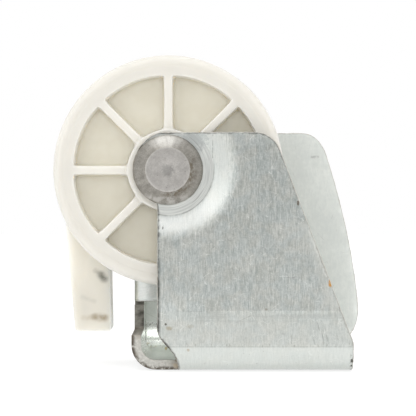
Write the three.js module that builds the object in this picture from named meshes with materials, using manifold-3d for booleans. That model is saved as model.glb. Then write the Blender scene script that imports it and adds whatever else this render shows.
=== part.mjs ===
// Sliding door roller: a spoked nylon wheel on a ball bearing, riveted between two dished ears
// of a bent galvanised bracket, with a pivoting nylon anti-lift catch behind the wheel.
//
// Millimetres, +Z up. X = 0 and Y = 0 lie under the wheel's centre and Z = 0 is the underside of
// the bracket's web. The wheel turns about +Y, and -Y is the side with the flag-shaped front plate.
import * as THREE from "three";
import { mergeVertices } from "three/addons/utils/BufferGeometryUtils.js";
import Module from "manifold-3d";

const wasm = await Module();
wasm.setup();

// ---- driving dimensions ---------------------------------------------------------------------
const SHEET = 2; // thickness of the bracket's steel
const AXLE_Z = 40.6; // wheel axis above the underside of the web
const GAP = 0.02; // axial gap between pieces that touch

const WHEEL = { radius: 23.5, halfWidth: 6, shoulder: 1.5, grooveRadius: 21.9, grooveHalf: 3.4 };
const HUB = { radius: 8.3, halfLength: 6.5, boreRadius: 5.8, lipRadius: 5.2, lipEnd: 3.3 };
const POCKET = { outer: 19.3, webHalf: 2.4, ribHalf: 0.85, count: 8, segments: 48 };

const BEARING = { bore: 3, outer: 6.5, halfWidth: 2.5, pitch: 4.75, innerLand: 4.15, outerLand: 5.35 };
const BALL = { radius: 0.95, count: 8, track: 1 };
const CAGE = { inner: 4.4, outer: 5.1, halfWidth: 1.25, pocket: 1.04 };
const SHIELD = { inner: 4.22, outer: 5.56, seat: 5.6, from: 2.1, to: 2.35 };

const PAD_Y = 7; // inner faces of the two dished pads that clamp the axle stack
const DISH = 1.5; // how far each pad is pressed in from its plate
const PLATE_Y = PAD_Y + DISH; // inner face of the front plate and of the rear ear
const FRONT_Y = -PLATE_Y - SHEET; // front face of the front plate
const REAR_Y = 22.5; // inner face of the rear plate
const FRONT_BEND = 3; // inside bend radii
const REAR_BEND = 6;
const FLANGE_BEND = 3;
const EAR_BEND = 1.2;
const FLANGE_X = -7.5; // outer face of the end flange
const FLANGE_TOP = 36;
const SLIT = 0.6; // gap between the end flange's rear edge and the rear plate
const WEB_END = 37.4; // right-hand end of the web
const EAR_FOOT = 13.2; // lower edge of the rear ear
const TOP_Z = 48.2; // top edge of the front plate

const RIVET = { shank: 2.97, head: 7.1, headFlat: 4.65, headHeight: 2.2, tail: 5.5, tailHeight: 1.9 };
const SPACER_RADIUS = 4.1;

const PIVOT = { x: -17.6, z: 33 }; // catch pivot
const CATCH = { front: 11.6, back: 21.9, hole: 2.1 };
const CATCH_STOP = FLANGE_X - PIVOT.x - 0.05; // pivot to the flange it stops against, less a little
const LOBE_RADIUS = 6;

const STEEL = { color: 0xc3c8c4, roughness: 0.42, metalness: 0.9 };
const BEARING_STEEL = { color: 0xb9bcbd, roughness: 0.22, metalness: 1 };
const RIVET_STEEL = { color: 0xa39e97, roughness: 0.5, metalness: 0.9 };
const NYLON = { color: 0xefece2, roughness: 0.45, metalness: 0 };
const CATCH_NYLON = { color: 0xe4dfcf, roughness: 0.5, metalness: 0 };

// ---- solids ---------------------------------------------------------------------------------
function solid(geometry) {
  const bare = geometry.clone().deleteAttribute("normal").deleteAttribute("uv");
  const merged = mergeVertices(bare, 1e-4);
  return new wasm.Manifold(
    new wasm.Mesh({
      numProp: 3,
      vertProperties: merged.attributes.position.array,
      triVerts: new Uint32Array(merged.index.array),
    }),
  );
}

function geometryOf(body) {
  const mesh = body.getMesh();
  const geometry = new THREE.BufferGeometry();
  geometry.setAttribute("position", new THREE.BufferAttribute(mesh.vertProperties, mesh.numProp));
  geometry.setIndex(new THREE.BufferAttribute(mesh.triVerts, 1));
  geometry.computeVertexNormals();
  return geometry;
}

// Each plane is named by its drawing axes, with the direction in which the drawing is extruded.
const PLANES = {
  xz: [new THREE.Vector3(1, 0, 0), new THREE.Vector3(0, 0, 1), new THREE.Vector3(0, -1, 0)],
  yz: [new THREE.Vector3(0, 1, 0), new THREE.Vector3(0, 0, 1), new THREE.Vector3(1, 0, 0)],
  xy: [new THREE.Vector3(1, 0, 0), new THREE.Vector3(0, 1, 0), new THREE.Vector3(0, 0, 1)],
};

// The drawn shape, extruded between two positions along the axis that its plane leaves out.
function prism(shape, plane, low, high, curveSegments = 8) {
  const geometry = new THREE.ExtrudeGeometry(shape, {
    depth: high - low,
    bevelEnabled: false,
    curveSegments,
  });
  const [u, v, w] = PLANES[plane];
  const start = plane === "xz" ? -high : low;
  geometry.translate(0, 0, start);
  geometry.applyMatrix4(new THREE.Matrix4().makeBasis(u, v, w));
  return solid(geometry);
}

function box(x0, x1, y0, y1, z0, z1) {
  const geometry = new THREE.BoxGeometry(x1 - x0, y1 - y0, z1 - z0);
  geometry.translate((x0 + x1) / 2, (y0 + y1) / 2, (z0 + z1) / 2);
  return solid(geometry);
}

// A body of revolution about the Y axis through (x, z), from [radius, y] points in order of y
// along its outside and back along its bore.
function turned(profile, segments, x = 0, z = AXLE_Z) {
  const points = profile.map(([r, y]) => new THREE.Vector2(r, y));
  if (profile[0][0] > 0) points.push(points[0].clone());
  const geometry = new THREE.LatheGeometry(points, segments);
  geometry.translate(x, 0, z);
  return solid(geometry);
}

function cylinder(radius, low, high, segments, x = 0, z = AXLE_Z) {
  return turned([[0, low], [radius, low], [radius, high], [0, high]], segments, x, z);
}

function polygon(points) {
  return new THREE.Shape(points.map(([u, v]) => new THREE.Vector2(u, v)));
}

// A quadrant-like region, open towards +u and +v, whose lower left corner is rounded.
function cornerRegion(u, v, radius, far) {
  const shape = new THREE.Shape();
  shape.moveTo(u, far);
  shape.lineTo(u, v + radius);
  shape.absarc(u + radius, v + radius, radius, Math.PI, Math.PI * 1.5, false);
  shape.lineTo(far, v);
  shape.lineTo(far, far);
  return shape;
}

// A trough between u0 and u1, open at the top, with its two lower corners rounded.
function trough(u0, u1, v, radius0, radius1, far) {
  const shape = new THREE.Shape();
  shape.moveTo(u0, far);
  shape.lineTo(u0, v + radius0);
  shape.absarc(u0 + radius0, v + radius0, radius0, Math.PI, Math.PI * 1.5, false);
  shape.lineTo(u1 - radius1, v);
  shape.absarc(u1 - radius1, v + radius1, radius1, Math.PI * 1.5, Math.PI * 2, false);
  shape.lineTo(u1, far);
  return shape;
}

// ---- bracket --------------------------------------------------------------------------------
// Front plate seen from -Y: a flag with a round ear at its upper left and a sloping right edge.
function frontOutline() {
  const ear = { x: 0.45, z: 40.95, radius: 7.5, from: 1.84, to: 4.302 };
  const corner = { x: 17.5, z: TOP_Z - 5.4, radius: 5.4, slope: 0.363 };
  const left = -2.15;
  const shape = new THREE.Shape();
  shape.moveTo(2.15, -1);
  shape.lineTo(WEB_END, -1);
  shape.lineTo(WEB_END, 5.3);
  shape.quadraticCurveTo(WEB_END, 6.2, 36.3, 8.6);
  shape.absarc(corner.x, corner.z, corner.radius, corner.slope, Math.PI / 2, false);
  shape.absarc(ear.x, ear.z, ear.radius, ear.from, ear.to, false);
  shape.quadraticCurveTo(left, 33.9, left, 32.8);
  shape.lineTo(left, 8.6);
  shape.bezierCurveTo(left, 5.6, 2.15, 4.4, 2.15, -1);
  return shape;
}

// Rear plate: a taller plate with a bowed right edge and a lobe at its left for the catch pivot.
function rearOutline() {
  const shape = new THREE.Shape();
  shape.moveTo(FLANGE_X, -1);
  shape.lineTo(WEB_END, -1);
  shape.lineTo(WEB_END, 3);
  shape.quadraticCurveTo(41.4, 6.2, 40.9, 12);
  shape.quadraticCurveTo(39.4, 27, 34.2, 43.5);
  shape.quadraticCurveTo(32.6, 49.2, 28.4, 49.2);
  shape.lineTo(-4, 49.2);
  shape.quadraticCurveTo(-9, 49.2, -11, 45);
  shape.quadraticCurveTo(-13, 40.5, PIVOT.x, PIVOT.z + LOBE_RADIUS);
  shape.absarc(PIVOT.x, PIVOT.z, LOBE_RADIUS, Math.PI / 2, Math.PI * 1.6, false);
  shape.quadraticCurveTo(-10.5, 24, FLANGE_X, 20.5);
  return shape;
}

// Rear ear: rises from the end flange to a round pad behind the wheel.
function earOutline(bendLine) {
  const shape = new THREE.Shape();
  shape.moveTo(bendLine, EAR_FOOT);
  shape.lineTo(3, EAR_FOOT);
  shape.quadraticCurveTo(5, EAR_FOOT, 5.6, 15.5);
  shape.lineTo(9, 38.6);
  shape.absarc(0, AXLE_Z, 9.2, -0.22, Math.PI * 1.13, false);
  shape.lineTo(-7, FLANGE_TOP + 0.8);
  shape.lineTo(bendLine, FLANGE_TOP + 0.8);
  return shape;
}

// The material that a dish adds behind a plate, and the hollow that it leaves in front. The pad
// is pressed towards the wheel: side is -1 for the front plate and 1 for the rear ear.
function dish(side, padRadius, rimRadius) {
  const lean = 0.26; // a bent sheet's inside corner sits this much nearer the pad's centre
  const cone = (near, far, shift, extra) => {
    const profile = [
      [0, near], [padRadius - shift, near], [rimRadius - shift, far], [rimRadius - shift, far + extra], [0, far + extra],
    ];
    return profile.map(([r, y]) => [r, side * y]);
  };
  const ordered = (points) => (side > 0 ? points : points.slice().reverse());
  const bump = turned(ordered(cone(PAD_Y, PLATE_Y, lean, 0.5)), POCKET.segments);
  const hollow = turned(ordered(cone(PAD_Y + SHEET, PLATE_Y + SHEET, 0, 1)), POCKET.segments);
  return { bump, hollow };
}

// The wrap of the sheet: front plate, web, rear plate and end flange as one open-topped tray.
function tray() {
  const far = 60;
  const flange = (inset) =>
    prism(
      cornerRegion(FLANGE_X + inset, inset, FLANGE_BEND + SHEET - inset, far),
      "xz", FRONT_Y - 5, REAR_Y + 5, 6,
    );
  const channel = (inset) =>
    prism(
      trough(
        FRONT_Y + inset, REAR_Y + SHEET - inset, inset,
        FRONT_BEND + SHEET - inset, REAR_BEND + SHEET - inset, far,
      ),
      "yz", FLANGE_X - 5, far, 8,
    );
  const outside = flange(0).intersect(channel(0));
  const inside = flange(SHEET).intersect(channel(SHEET));
  return outside.subtract(inside);
}

function bracket() {
  const frontTangent = FRONT_Y + SHEET + FRONT_BEND;
  const rearTangent = REAR_Y - REAR_BEND;
  const earBendLine = FLANGE_X + SHEET + EAR_BEND;
  const earTangent = PLATE_Y + SHEET + EAR_BEND;
  const high = 70;

  const frontPlate = prism(frontOutline(), "xz", FRONT_Y - 1, frontTangent, 14);
  const rearPlate = prism(rearOutline(), "xz", REAR_Y, REAR_Y + SHEET, 10).subtract(
    box(-50, 50, 0, 50, -2, REAR_BEND + SHEET),
  );
  const rearKeep = prism(rearOutline(), "xz", rearTangent, REAR_Y + SHEET + 1, 10);
  const middle = box(FLANGE_X - 1, WEB_END, frontTangent, rearTangent, -1, high);
  const kept = frontPlate.add(rearKeep).add(middle);
  let body = tray().intersect(kept);

  // The end flange is low in front, under the wheel, and stands up behind it.
  const notch = polygon([
    [frontTangent - 1, 7], [earTangent - 0.2, 7.3], [earTangent - 0.2, EAR_FOOT],
    [earTangent, EAR_FOOT], [earTangent, high], [frontTangent - 1, high],
  ]);
  body = body.subtract(prism(notch, "yz", FLANGE_X - 1, -2.6));
  body = body.subtract(box(FLANGE_X - 1, FLANGE_X + SHEET + 0.1, 0, REAR_Y - 0.01, FLANGE_TOP, high));

  // A slit frees the flange's rear edge from the rear plate, down round the corner of the web.
  const inside = trough(
    FRONT_Y, REAR_Y - SLIT, SHEET + SLIT, FRONT_BEND, REAR_BEND - SLIT, high,
  );
  const corner = box(FLANGE_X - 1, FLANGE_X + SHEET + 0.01, rearTangent, REAR_Y + SHEET + 1, -1, high);
  body = body.subtract(corner.subtract(prism(inside, "yz", FLANGE_X - 2, 0, 8)));
  const relief = box(FLANGE_X - 1, FLANGE_X + SHEET + 1, 0, earTangent + 2, EAR_FOOT - 0.8, EAR_FOOT);
  body = body.subtract(relief);

  // The ear is bent from the flange's front edge and runs to the right behind the wheel.
  const bend = new THREE.Shape();
  const centre = { x: earBendLine, y: earTangent };
  bend.absarc(centre.x, centre.y, EAR_BEND + SHEET, Math.PI, Math.PI * 1.5, false);
  bend.absarc(centre.x, centre.y, EAR_BEND, Math.PI * 1.5, Math.PI, true);
  body = body.add(prism(bend, "xy", EAR_FOOT, FLANGE_TOP, 6));
  const earPlate = prism(earOutline(earBendLine), "xz", PLATE_Y, PLATE_Y + SHEET, 18);
  const rear = dish(1, 7.6, 11);
  const earBump = rear.bump.intersect(prism(earOutline(earBendLine), "xz", 0, PLATE_Y + SHEET, 18));
  body = body.add(earPlate).add(earBump).subtract(rear.hollow.intersect(box(-20, 20, 0, PLATE_Y + SHEET + 1, 0, high)));

  const front = dish(-1, 9.4, 15);
  body = body.add(front.bump.intersect(frontPlate.add(prism(frontOutline(), "xz", FRONT_Y, 0, 14))));
  body = body.subtract(front.hollow);
  body = body.add(rearPlate);

  // Axle hole through both pads, catch rivet hole with its countersink, and the fixing holes.
  body = body.subtract(cylinder(3.05, FRONT_Y - 1, PLATE_Y + SHEET + 1, 32));
  const sink = [[0, REAR_Y - 1], [2.05, REAR_Y - 1], [2.05, REAR_Y + 0.5], [3.55, REAR_Y + SHEET], [3.55, REAR_Y + 4], [0, REAR_Y + 4]];
  body = body.subtract(turned(sink, 24, PIVOT.x, PIVOT.z));
  for (const z of [20, 38]) body = body.subtract(cylinder(2.75, REAR_Y - 1, REAR_Y + 4, 20, 17, z));
  const slot = new THREE.Shape();
  const webMiddle = (frontTangent + rearTangent) / 2;
  slot.absarc(27, webMiddle, 3.25, Math.PI / 2, Math.PI * 1.5, false);
  slot.absarc(31, webMiddle, 3.25, Math.PI * 1.5, Math.PI * 2.5, false);
  return body.subtract(prism(slot, "xy", -1, SHEET + 1, 10));
}

// ---- axle and bearing -----------------------------------------------------------------------
function axleRivet() {
  const seat = PAD_Y + SHEET + GAP;
  return turned(
    [
      [0, -seat - RIVET.headHeight + 0.25],
      [1.6, -seat - RIVET.headHeight],
      [RIVET.headFlat, -seat - RIVET.headHeight],
      [RIVET.head - 0.35, -seat - 0.75],
      [RIVET.head, -seat - 0.35],
      [RIVET.head, -seat],
      [RIVET.shank, -seat],
      [RIVET.shank, seat],
      [RIVET.tail, seat],
      [RIVET.tail, seat + RIVET.tailHeight - 0.4],
      [RIVET.tail - 0.5, seat + RIVET.tailHeight],
      [0, seat + RIVET.tailHeight],
    ],
    32,
  );
}

function spacer(side) {
  const near = BEARING.halfWidth + GAP;
  const far = PAD_Y - GAP;
  const low = side < 0 ? -far : near;
  const high = side < 0 ? -near : far;
  return turned([[3.02, low], [SPACER_RADIUS, low], [SPACER_RADIUS, high], [3.02, high]], 32);
}

// Points of a ball track: an arc of the track's radius, cut off where it meets the ring's land.
function trackArc(land, outward) {
  const reach = outward ? land - BEARING.pitch : BEARING.pitch - land;
  const half = Math.sqrt(BALL.track ** 2 - reach ** 2);
  const steps = 4;
  const points = [];
  for (let i = 0; i <= steps; i++) {
    const y = half * (1 - (2 * i) / steps);
    const depth = Math.sqrt(BALL.track ** 2 - y ** 2);
    points.push([BEARING.pitch + (outward ? depth : -depth), y]);
  }
  return points;
}

function innerRing() {
  const w = BEARING.halfWidth;
  const track = trackArc(BEARING.innerLand, false).reverse();
  return turned([[BEARING.bore, -w], [BEARING.innerLand, -w], ...track, [BEARING.innerLand, w], [BEARING.bore, w]], 32);
}

function outerRing() {
  const w = BEARING.halfWidth;
  const rim = BEARING.outer - GAP;
  const seat = SHIELD.from - 0.02;
  const track = trackArc(BEARING.outerLand, true);
  return turned(
    [
      [SHIELD.seat, -w], [rim, -w], [rim, w], [SHIELD.seat, w], [SHIELD.seat, seat],
      [BEARING.outerLand, seat], ...track, [BEARING.outerLand, -seat], [SHIELD.seat, -seat],
    ],
    POCKET.segments,
  );
}

function shield(side) {
  const low = side < 0 ? -SHIELD.to : SHIELD.from;
  const high = side < 0 ? -SHIELD.from : SHIELD.to;
  return turned([[SHIELD.inner, low], [SHIELD.outer, low], [SHIELD.outer, high], [SHIELD.inner, high]], 32);
}

function ballPlace(i) {
  const angle = ((i + 0.5) * 2 * Math.PI) / BALL.count;
  return { x: BEARING.pitch * Math.cos(angle), z: AXLE_Z + BEARING.pitch * Math.sin(angle) };
}

function sphere(radius, i, across, down) {
  const geometry = new THREE.SphereGeometry(radius, across, down);
  const place = ballPlace(i);
  geometry.translate(place.x, 0, place.z);
  return geometry;
}

function cage() {
  const w = CAGE.halfWidth;
  let ring = turned([[CAGE.inner, -w], [CAGE.outer, -w], [CAGE.outer, w], [CAGE.inner, w]], 32);
  for (let i = 0; i < BALL.count; i++) ring = ring.subtract(solid(sphere(CAGE.pocket, i, 12, 8)));
  return ring;
}

// ---- wheel ----------------------------------------------------------------------------------
// One pocket between two ribs, straddling the direction given, in the plane of the wheel.
function pocketShape(direction) {
  const half = Math.PI / POCKET.count;
  const edge = (r) => half - Math.asin(POCKET.ribHalf / r);
  const shape = new THREE.Shape();
  shape.absarc(0, AXLE_Z, POCKET.outer, direction - edge(POCKET.outer), direction + edge(POCKET.outer), false);
  shape.absarc(0, AXLE_Z, HUB.radius, direction + edge(HUB.radius), direction - edge(HUB.radius), true);
  return shape;
}

function wheel() {
  const w = WHEEL.halfWidth;
  const s = WHEEL.shoulder;
  const lip = BEARING.halfWidth + GAP;
  const shoulderArc = (sign) =>
    [0, 1, 2, 3].map((i) => {
      const a = (i * Math.PI) / 6;
      return [WHEEL.radius - s + s * Math.sin(a), sign * (w - s + s * Math.cos(a))];
    });
  const outside = [
    [HUB.boreRadius, -HUB.halfLength], [HUB.radius, -HUB.halfLength], [HUB.radius + 0.4, -w], ...shoulderArc(-1),
    [WHEEL.grooveRadius, -WHEEL.grooveHalf + 0.6], [WHEEL.grooveRadius, WHEEL.grooveHalf - 0.6],
    ...shoulderArc(1).reverse(), [HUB.radius + 0.4, w], [HUB.radius, HUB.halfLength], [HUB.boreRadius, HUB.halfLength],
  ];
  const bore = [
    [HUB.boreRadius, HUB.lipEnd], [HUB.lipRadius, HUB.lipEnd], [HUB.lipRadius, lip], [BEARING.outer, lip],
    [BEARING.outer, -lip], [HUB.lipRadius, -lip], [HUB.lipRadius, -HUB.lipEnd], [HUB.boreRadius, -HUB.lipEnd],
  ];
  let body = turned([...outside, ...bore], POCKET.segments);
  for (let i = 0; i < POCKET.count; i++) {
    const shape = pocketShape(((i + 0.5) * 2 * Math.PI) / POCKET.count);
    body = body.subtract(prism(shape, "xz", POCKET.webHalf, w + 1, 7));
    body = body.subtract(prism(shape, "xz", -w - 1, -POCKET.webHalf, 7));
  }
  return body;
}

// ---- anti-lift catch ------------------------------------------------------------------------
// Seen from -Y at rest: a tapered leg that hangs behind the wheel, a lug that rests on the end
// flange, and a heel whose flat end meets the same flange after a quarter turn.
function catchOutline() {
  const leftEdge = (z) => -20.1 - (z - 6.8) * 0.0888;
  const rightEdge = (z) => -12.4 - (z - 6.8) * 0.02;
  const heelTop = PIVOT.z + CATCH_STOP;
  const heelSide = Math.acos((rightEdge(41.5) - PIVOT.x) / CATCH_STOP);
  const lug = PIVOT.x + CATCH_STOP;
  const shape = new THREE.Shape();
  shape.moveTo(leftEdge(7.3), 7.3);
  shape.quadraticCurveTo(-20.08, 6.8, -19.6, 6.8);
  shape.lineTo(-13.1, 6.8);
  shape.quadraticCurveTo(-12.4, 6.8, rightEdge(7.5), 7.5);
  shape.lineTo(rightEdge(20.5), 20.5);
  shape.lineTo(lug, 23);
  shape.lineTo(lug, 26.5);
  shape.lineTo(rightEdge(29.5), 29.5);
  shape.absarc(PIVOT.x, PIVOT.z, CATCH_STOP, heelSide, Math.PI / 2, false);
  shape.lineTo(leftEdge(heelTop), heelTop);
  return shape;
}

function catchLever() {
  // Two cores lighten the back of the leg.
  const core = (z0, z1) => box(-18.6, -14.2, 15, CATCH.back + 1, z0, z1);
  const leg = prism(catchOutline(), "xz", CATCH.front, CATCH.back, 8);
  const body = leg.subtract(core(9.6, 16.2)).subtract(core(17.6, 24.2));
  return body.subtract(cylinder(CATCH.hole, CATCH.front - 1, CATCH.back + 1, 24, PIVOT.x, PIVOT.z));
}

const WASHER = { outer: 4.5, thickness: 0.5 };

function catchWasher() {
  const high = CATCH.front - GAP;
  const low = high - WASHER.thickness;
  return turned([[2.1, low], [WASHER.outer, low], [WASHER.outer, high], [2.1, high]], 24, PIVOT.x, PIVOT.z);
}

// A thin washer with three waves, which presses the catch against its washer and holds it by friction.
function waveWasher() {
  const middle = (CATCH.back + REAR_Y) / 2;
  const flat = turned(
    [[2.15, -0.125], [3.2, -0.125], [4.3, -0.125], [4.3, 0.125], [3.2, 0.125], [2.15, 0.125]],
    36, PIVOT.x, PIVOT.z,
  );
  const geometry = geometryOf(flat);
  const place = geometry.attributes.position;
  for (let i = 0; i < place.count; i++) {
    const angle = Math.atan2(place.getZ(i) - PIVOT.z, place.getX(i) - PIVOT.x);
    place.setY(i, place.getY(i) + middle + 0.15 * Math.cos(3 * angle));
  }
  return solid(geometry);
}

function catchRivet() {
  const seat = CATCH.front - WASHER.thickness - 2 * GAP;
  const sink = REAR_Y + 0.5;
  return turned(
    [
      [0, seat - 1.4], [1.8, seat - 1.3], [3.2, seat - 0.9], [3.9, seat - 0.3], [3.9, seat], [2, seat],
      [2, sink], [3.45, REAR_Y + SHEET - 0.05], [0, REAR_Y + SHEET - 0.05],
    ],
    24, PIVOT.x, PIVOT.z,
  );
}

// ---- assembly -------------------------------------------------------------------------------
function piece(name, body, look) {
  const geometry = body.isBufferGeometry ? body : geometryOf(body);
  const mesh = new THREE.Mesh(geometry, new THREE.MeshStandardMaterial(look));
  mesh.name = name;
  return mesh;
}

const roller = new THREE.Group();
roller.add(
  piece("bracket", bracket(), STEEL),
  piece("axle_rivet", axleRivet(), RIVET_STEEL),
  piece("front_spacer", spacer(-1), BEARING_STEEL),
  piece("rear_spacer", spacer(1), BEARING_STEEL),
  piece("wheel", wheel(), NYLON),
  piece("bearing_inner_ring", innerRing(), BEARING_STEEL),
  piece("bearing_outer_ring", outerRing(), BEARING_STEEL),
  piece("bearing_cage", cage(), BEARING_STEEL),
  piece("bearing_front_shield", shield(-1), BEARING_STEEL),
  piece("bearing_rear_shield", shield(1), BEARING_STEEL),
  piece("catch_lever", catchLever(), CATCH_NYLON),
  piece("catch_washer", catchWasher(), BEARING_STEEL),
  piece("catch_wave_washer", waveWasher(), BEARING_STEEL),
  piece("catch_rivet", catchRivet(), RIVET_STEEL),
);
for (let i = 0; i < BALL.count; i++) {
  roller.add(piece(`bearing_ball_${i + 1}`, sphere(BALL.radius, i, 10, 7), BEARING_STEEL));
}

export default roller;
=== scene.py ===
"""Looks of the sliding door roller: worked out in millimetres, made in metres, in the CAD frame."""

import math

import bmesh
import bpy
import numpy as np
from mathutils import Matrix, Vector, noise
from mathutils.geometry import delaunay_2d_cdt


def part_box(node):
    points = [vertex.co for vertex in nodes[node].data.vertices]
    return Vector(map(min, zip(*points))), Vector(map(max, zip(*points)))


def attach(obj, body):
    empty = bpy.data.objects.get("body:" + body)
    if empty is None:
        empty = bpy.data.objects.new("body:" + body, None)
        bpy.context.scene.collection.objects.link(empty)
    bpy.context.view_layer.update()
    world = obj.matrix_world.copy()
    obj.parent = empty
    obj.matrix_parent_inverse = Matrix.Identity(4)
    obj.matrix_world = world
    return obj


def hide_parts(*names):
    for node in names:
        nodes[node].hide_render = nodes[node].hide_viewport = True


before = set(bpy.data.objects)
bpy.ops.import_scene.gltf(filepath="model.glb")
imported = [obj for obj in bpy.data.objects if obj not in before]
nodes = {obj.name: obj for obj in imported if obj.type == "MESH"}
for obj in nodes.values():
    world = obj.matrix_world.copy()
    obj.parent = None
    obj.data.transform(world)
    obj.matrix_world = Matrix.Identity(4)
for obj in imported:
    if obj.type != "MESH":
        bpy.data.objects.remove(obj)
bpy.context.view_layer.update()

MM = 0.001
PI = math.pi


# ---- driving dimensions, from the frame where it has them ------------------------------------
def box_mm(node):
    low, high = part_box(node)
    return Vector(low) / MM, Vector(high) / MM


wheel_low, wheel_high = box_mm("wheel")
bracket_low, bracket_high = box_mm("bracket")
hole_low, hole_high = box_mm("catch_rivet")
rivet_low, rivet_high = box_mm("axle_rivet")
catch_low, catch_high = box_mm("catch_lever")

AXLE_Z = (wheel_low.z + wheel_high.z) / 2
AXLE = Vector((0, 0, AXLE_Z))
WHEEL_R = (wheel_high.z - wheel_low.z) / 2
HUB_HALF = wheel_high.y
SHEET = 2
FRONT_Y = bracket_low.y  # front face of the front plate
BACK_Y = bracket_high.y  # back face of the rear plate
FLANGE_X = -7.5  # outer face of the end flange
PIVOT = Vector(((hole_low.x + hole_high.x) / 2, 0, (hole_low.z + hole_high.z) / 2))

# Outside bend radii, and where each bend starts on the web or the flange
FRONT_BEND, REAR_BEND, FLANGE_BEND, EAR_BEND = 5, 8, 5, 3.2
FRONT_LINE = FRONT_Y + FRONT_BEND
REAR_LINE = BACK_Y - REAR_BEND
FLANGE_LINE = FLANGE_X + FLANGE_BEND
EAR_Y = 8.5
EAR_LINE = EAR_Y + EAR_BEND
EAR_X = FLANGE_X + EAR_BEND
FLANGE_TOP = 36
EAR_FOOT = 13.2
WEB_END = 37.4
TOP_Z = 48.2

FRONT_DISH = {"pad": 9.4, "rim": 15, "depth": 1.5}
EAR_DISH = {"pad": 7.6, "rim": 11, "depth": 1.5}
DISH_REACH = 19  # no plate is pressed in further out than this
AXLE_HOLE = 3.05
FIXING_X, FIXING_ZS, FIXING_R = 17, (20, 38), 2.75
SLOT_FROM, SLOT_TO, SLOT_HALF = 27, 31, 3.25
LOBE_R = 5.9  # of the rear plate round the catch's pivot
SINK_WIDE, SINK_NARROW = 3.55, 2.05  # countersink in the lobe
OUTLINE_STEP, HOLE_STEP = 0.6, 0.45  # between the points of a cut edge


# ---- flat pattern of the bracket -------------------------------------------------------------
# The sheet is drawn flat, with u along X on the web and s along Y, and folded by fold().
def developed(height, radius):
    """Length of sheet from the start of a bend to a height on the wall that it turns up."""
    if height >= radius:
        return radius * PI / 2 + height - radius
    return radius * math.acos(1 - height / radius)


def on_front(x, z):
    return (x, FRONT_LINE - developed(z, FRONT_BEND))


def on_rear(x, z):
    return (x, REAR_LINE + developed(z, REAR_BEND))


def on_flange(y, z):
    return (FLANGE_LINE - developed(z, FLANGE_BEND), y)


def on_ear(x, z):
    return (on_flange(0, z)[0], EAR_LINE - EAR_BEND * PI / 2 - (x - EAR_X))


def bend(distance, radius):
    """(along, up, lean) for a distance of sheet past the start of a bend that turns upwards."""
    angle = min(distance / radius, PI / 2)
    rest = distance - radius * angle
    return radius * math.sin(angle), radius * (1 - math.cos(angle)) + rest, angle


def fold(u, s):
    """Point of the bracket's outer surface, and its normal into the sheet, for a flat point."""
    corner = CORNER_U - 0.01 < u < FLANGE_LINE and s > REAR_LINE
    if u < FLANGE_LINE and s < BACK_Y - 1 and (s > FRONT_LINE - 1 or u < EAR_U) and not corner:
        out, z, lean = bend(FLANGE_LINE - u, FLANGE_BEND)
        if z > EAR_FOOT - 0.4 and s < EAR_LINE:
            forward, sideways, turn = bend(EAR_LINE - s, EAR_BEND)
            if turn == PI / 2 or z > FLANGE_TOP + 0.4:
                return Vector((EAR_X + on_ear(EAR_X, z)[1] - s, EAR_Y, z)), Vector((0, 1, 0))
            normal = Vector((math.cos(turn), math.sin(turn), 0))
            return Vector((FLANGE_X + sideways, EAR_LINE - forward, z)), normal
        return Vector((FLANGE_LINE - out, s, z)), Vector((math.sin(lean), 0, math.cos(lean)))
    if s < FRONT_LINE:
        out, z, lean = bend(FRONT_LINE - s, FRONT_BEND)
        return Vector((u, FRONT_LINE - out, z)), Vector((0, math.sin(lean), math.cos(lean)))
    if s > REAR_LINE:
        out, z, lean = bend(s - REAR_LINE, REAR_BEND)
        x, lift = u, 0
        if corner:  # the corner of the web rises into both bends
            side, lift, _ = bend(FLANGE_LINE - u, FLANGE_BEND)
            share = min((s - REAR_LINE) / (REAR_BEND * PI / 2), 1)
            x = (FLANGE_LINE - side) * (1 - share) + u * share
        normal = Vector((0, -math.sin(lean), math.cos(lean)))
        return Vector((x, REAR_LINE + out, max(z, lift))), normal
    return Vector((u, s, 0)), Vector((0, 0, 1))


CORNER_U = FLANGE_LINE - FLANGE_BEND * math.asin((FLANGE_LINE - FLANGE_X - SHEET) / FLANGE_BEND)
EAR_U = on_flange(0, EAR_FOOT - 0.5)[0]


def soft_max(a, b, width):
    """The larger of a and b, rounded off over width where they meet."""
    return (a + b + math.sqrt((a - b) ** 2 + width * width)) / 2


def soft_min(a, b, width):
    return -soft_max(-a, -b, width)


def smooth(a, b, x):
    """0 below a and 1 above b, eased between them."""
    t = min(max((x - a) / (b - a), 0), 1)
    return t * t * (3 - 2 * t)


def arc(x, z, radius, start, end, step=0.5):
    count = max(3, int(abs(end - start) * radius / step))
    angles = [start + (end - start) * i / count for i in range(count + 1)]
    return [(x + radius * math.cos(a), z + radius * math.sin(a)) for a in angles]


def between(a, b, share):
    """The point at a share of the way from a to b."""
    return (a[0] + (b[0] - a[0]) * share, a[1] + (b[1] - a[1]) * share)


def curve(*points, count=12):
    """A Bezier curve through its first and last points, of any degree."""
    line = []
    for i in range(count + 1):
        level, t = list(points), i / count
        while len(level) > 1:
            level = [between(a, b, t) for a, b in zip(level, level[1:])]
        line.append(level[0])
    return line


def front_outline():
    """From the foot of the right-hand edge, over the top and down to the relief at the left."""
    corner_r, slope = 5.4, 0.363
    return [
        (WEB_END, 0.01),
        *curve((WEB_END, 5.3), (WEB_END, 6.2), (36.3, 8.6)),
        *arc(17.5, TOP_Z - corner_r, corner_r, slope, PI / 2),
        *arc(0.45, AXLE_Z + 0.35, 7.5, 1.84, 4.302),
        *curve((-2.7, 34.1), (-2.15, 33.9), (-2.15, 32.8), count=4),
        *curve((-2.15, 8.6), (-2.15, 5.6), (2.15, 4.4), (2.15, 0.01), count=24),
    ]


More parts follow.
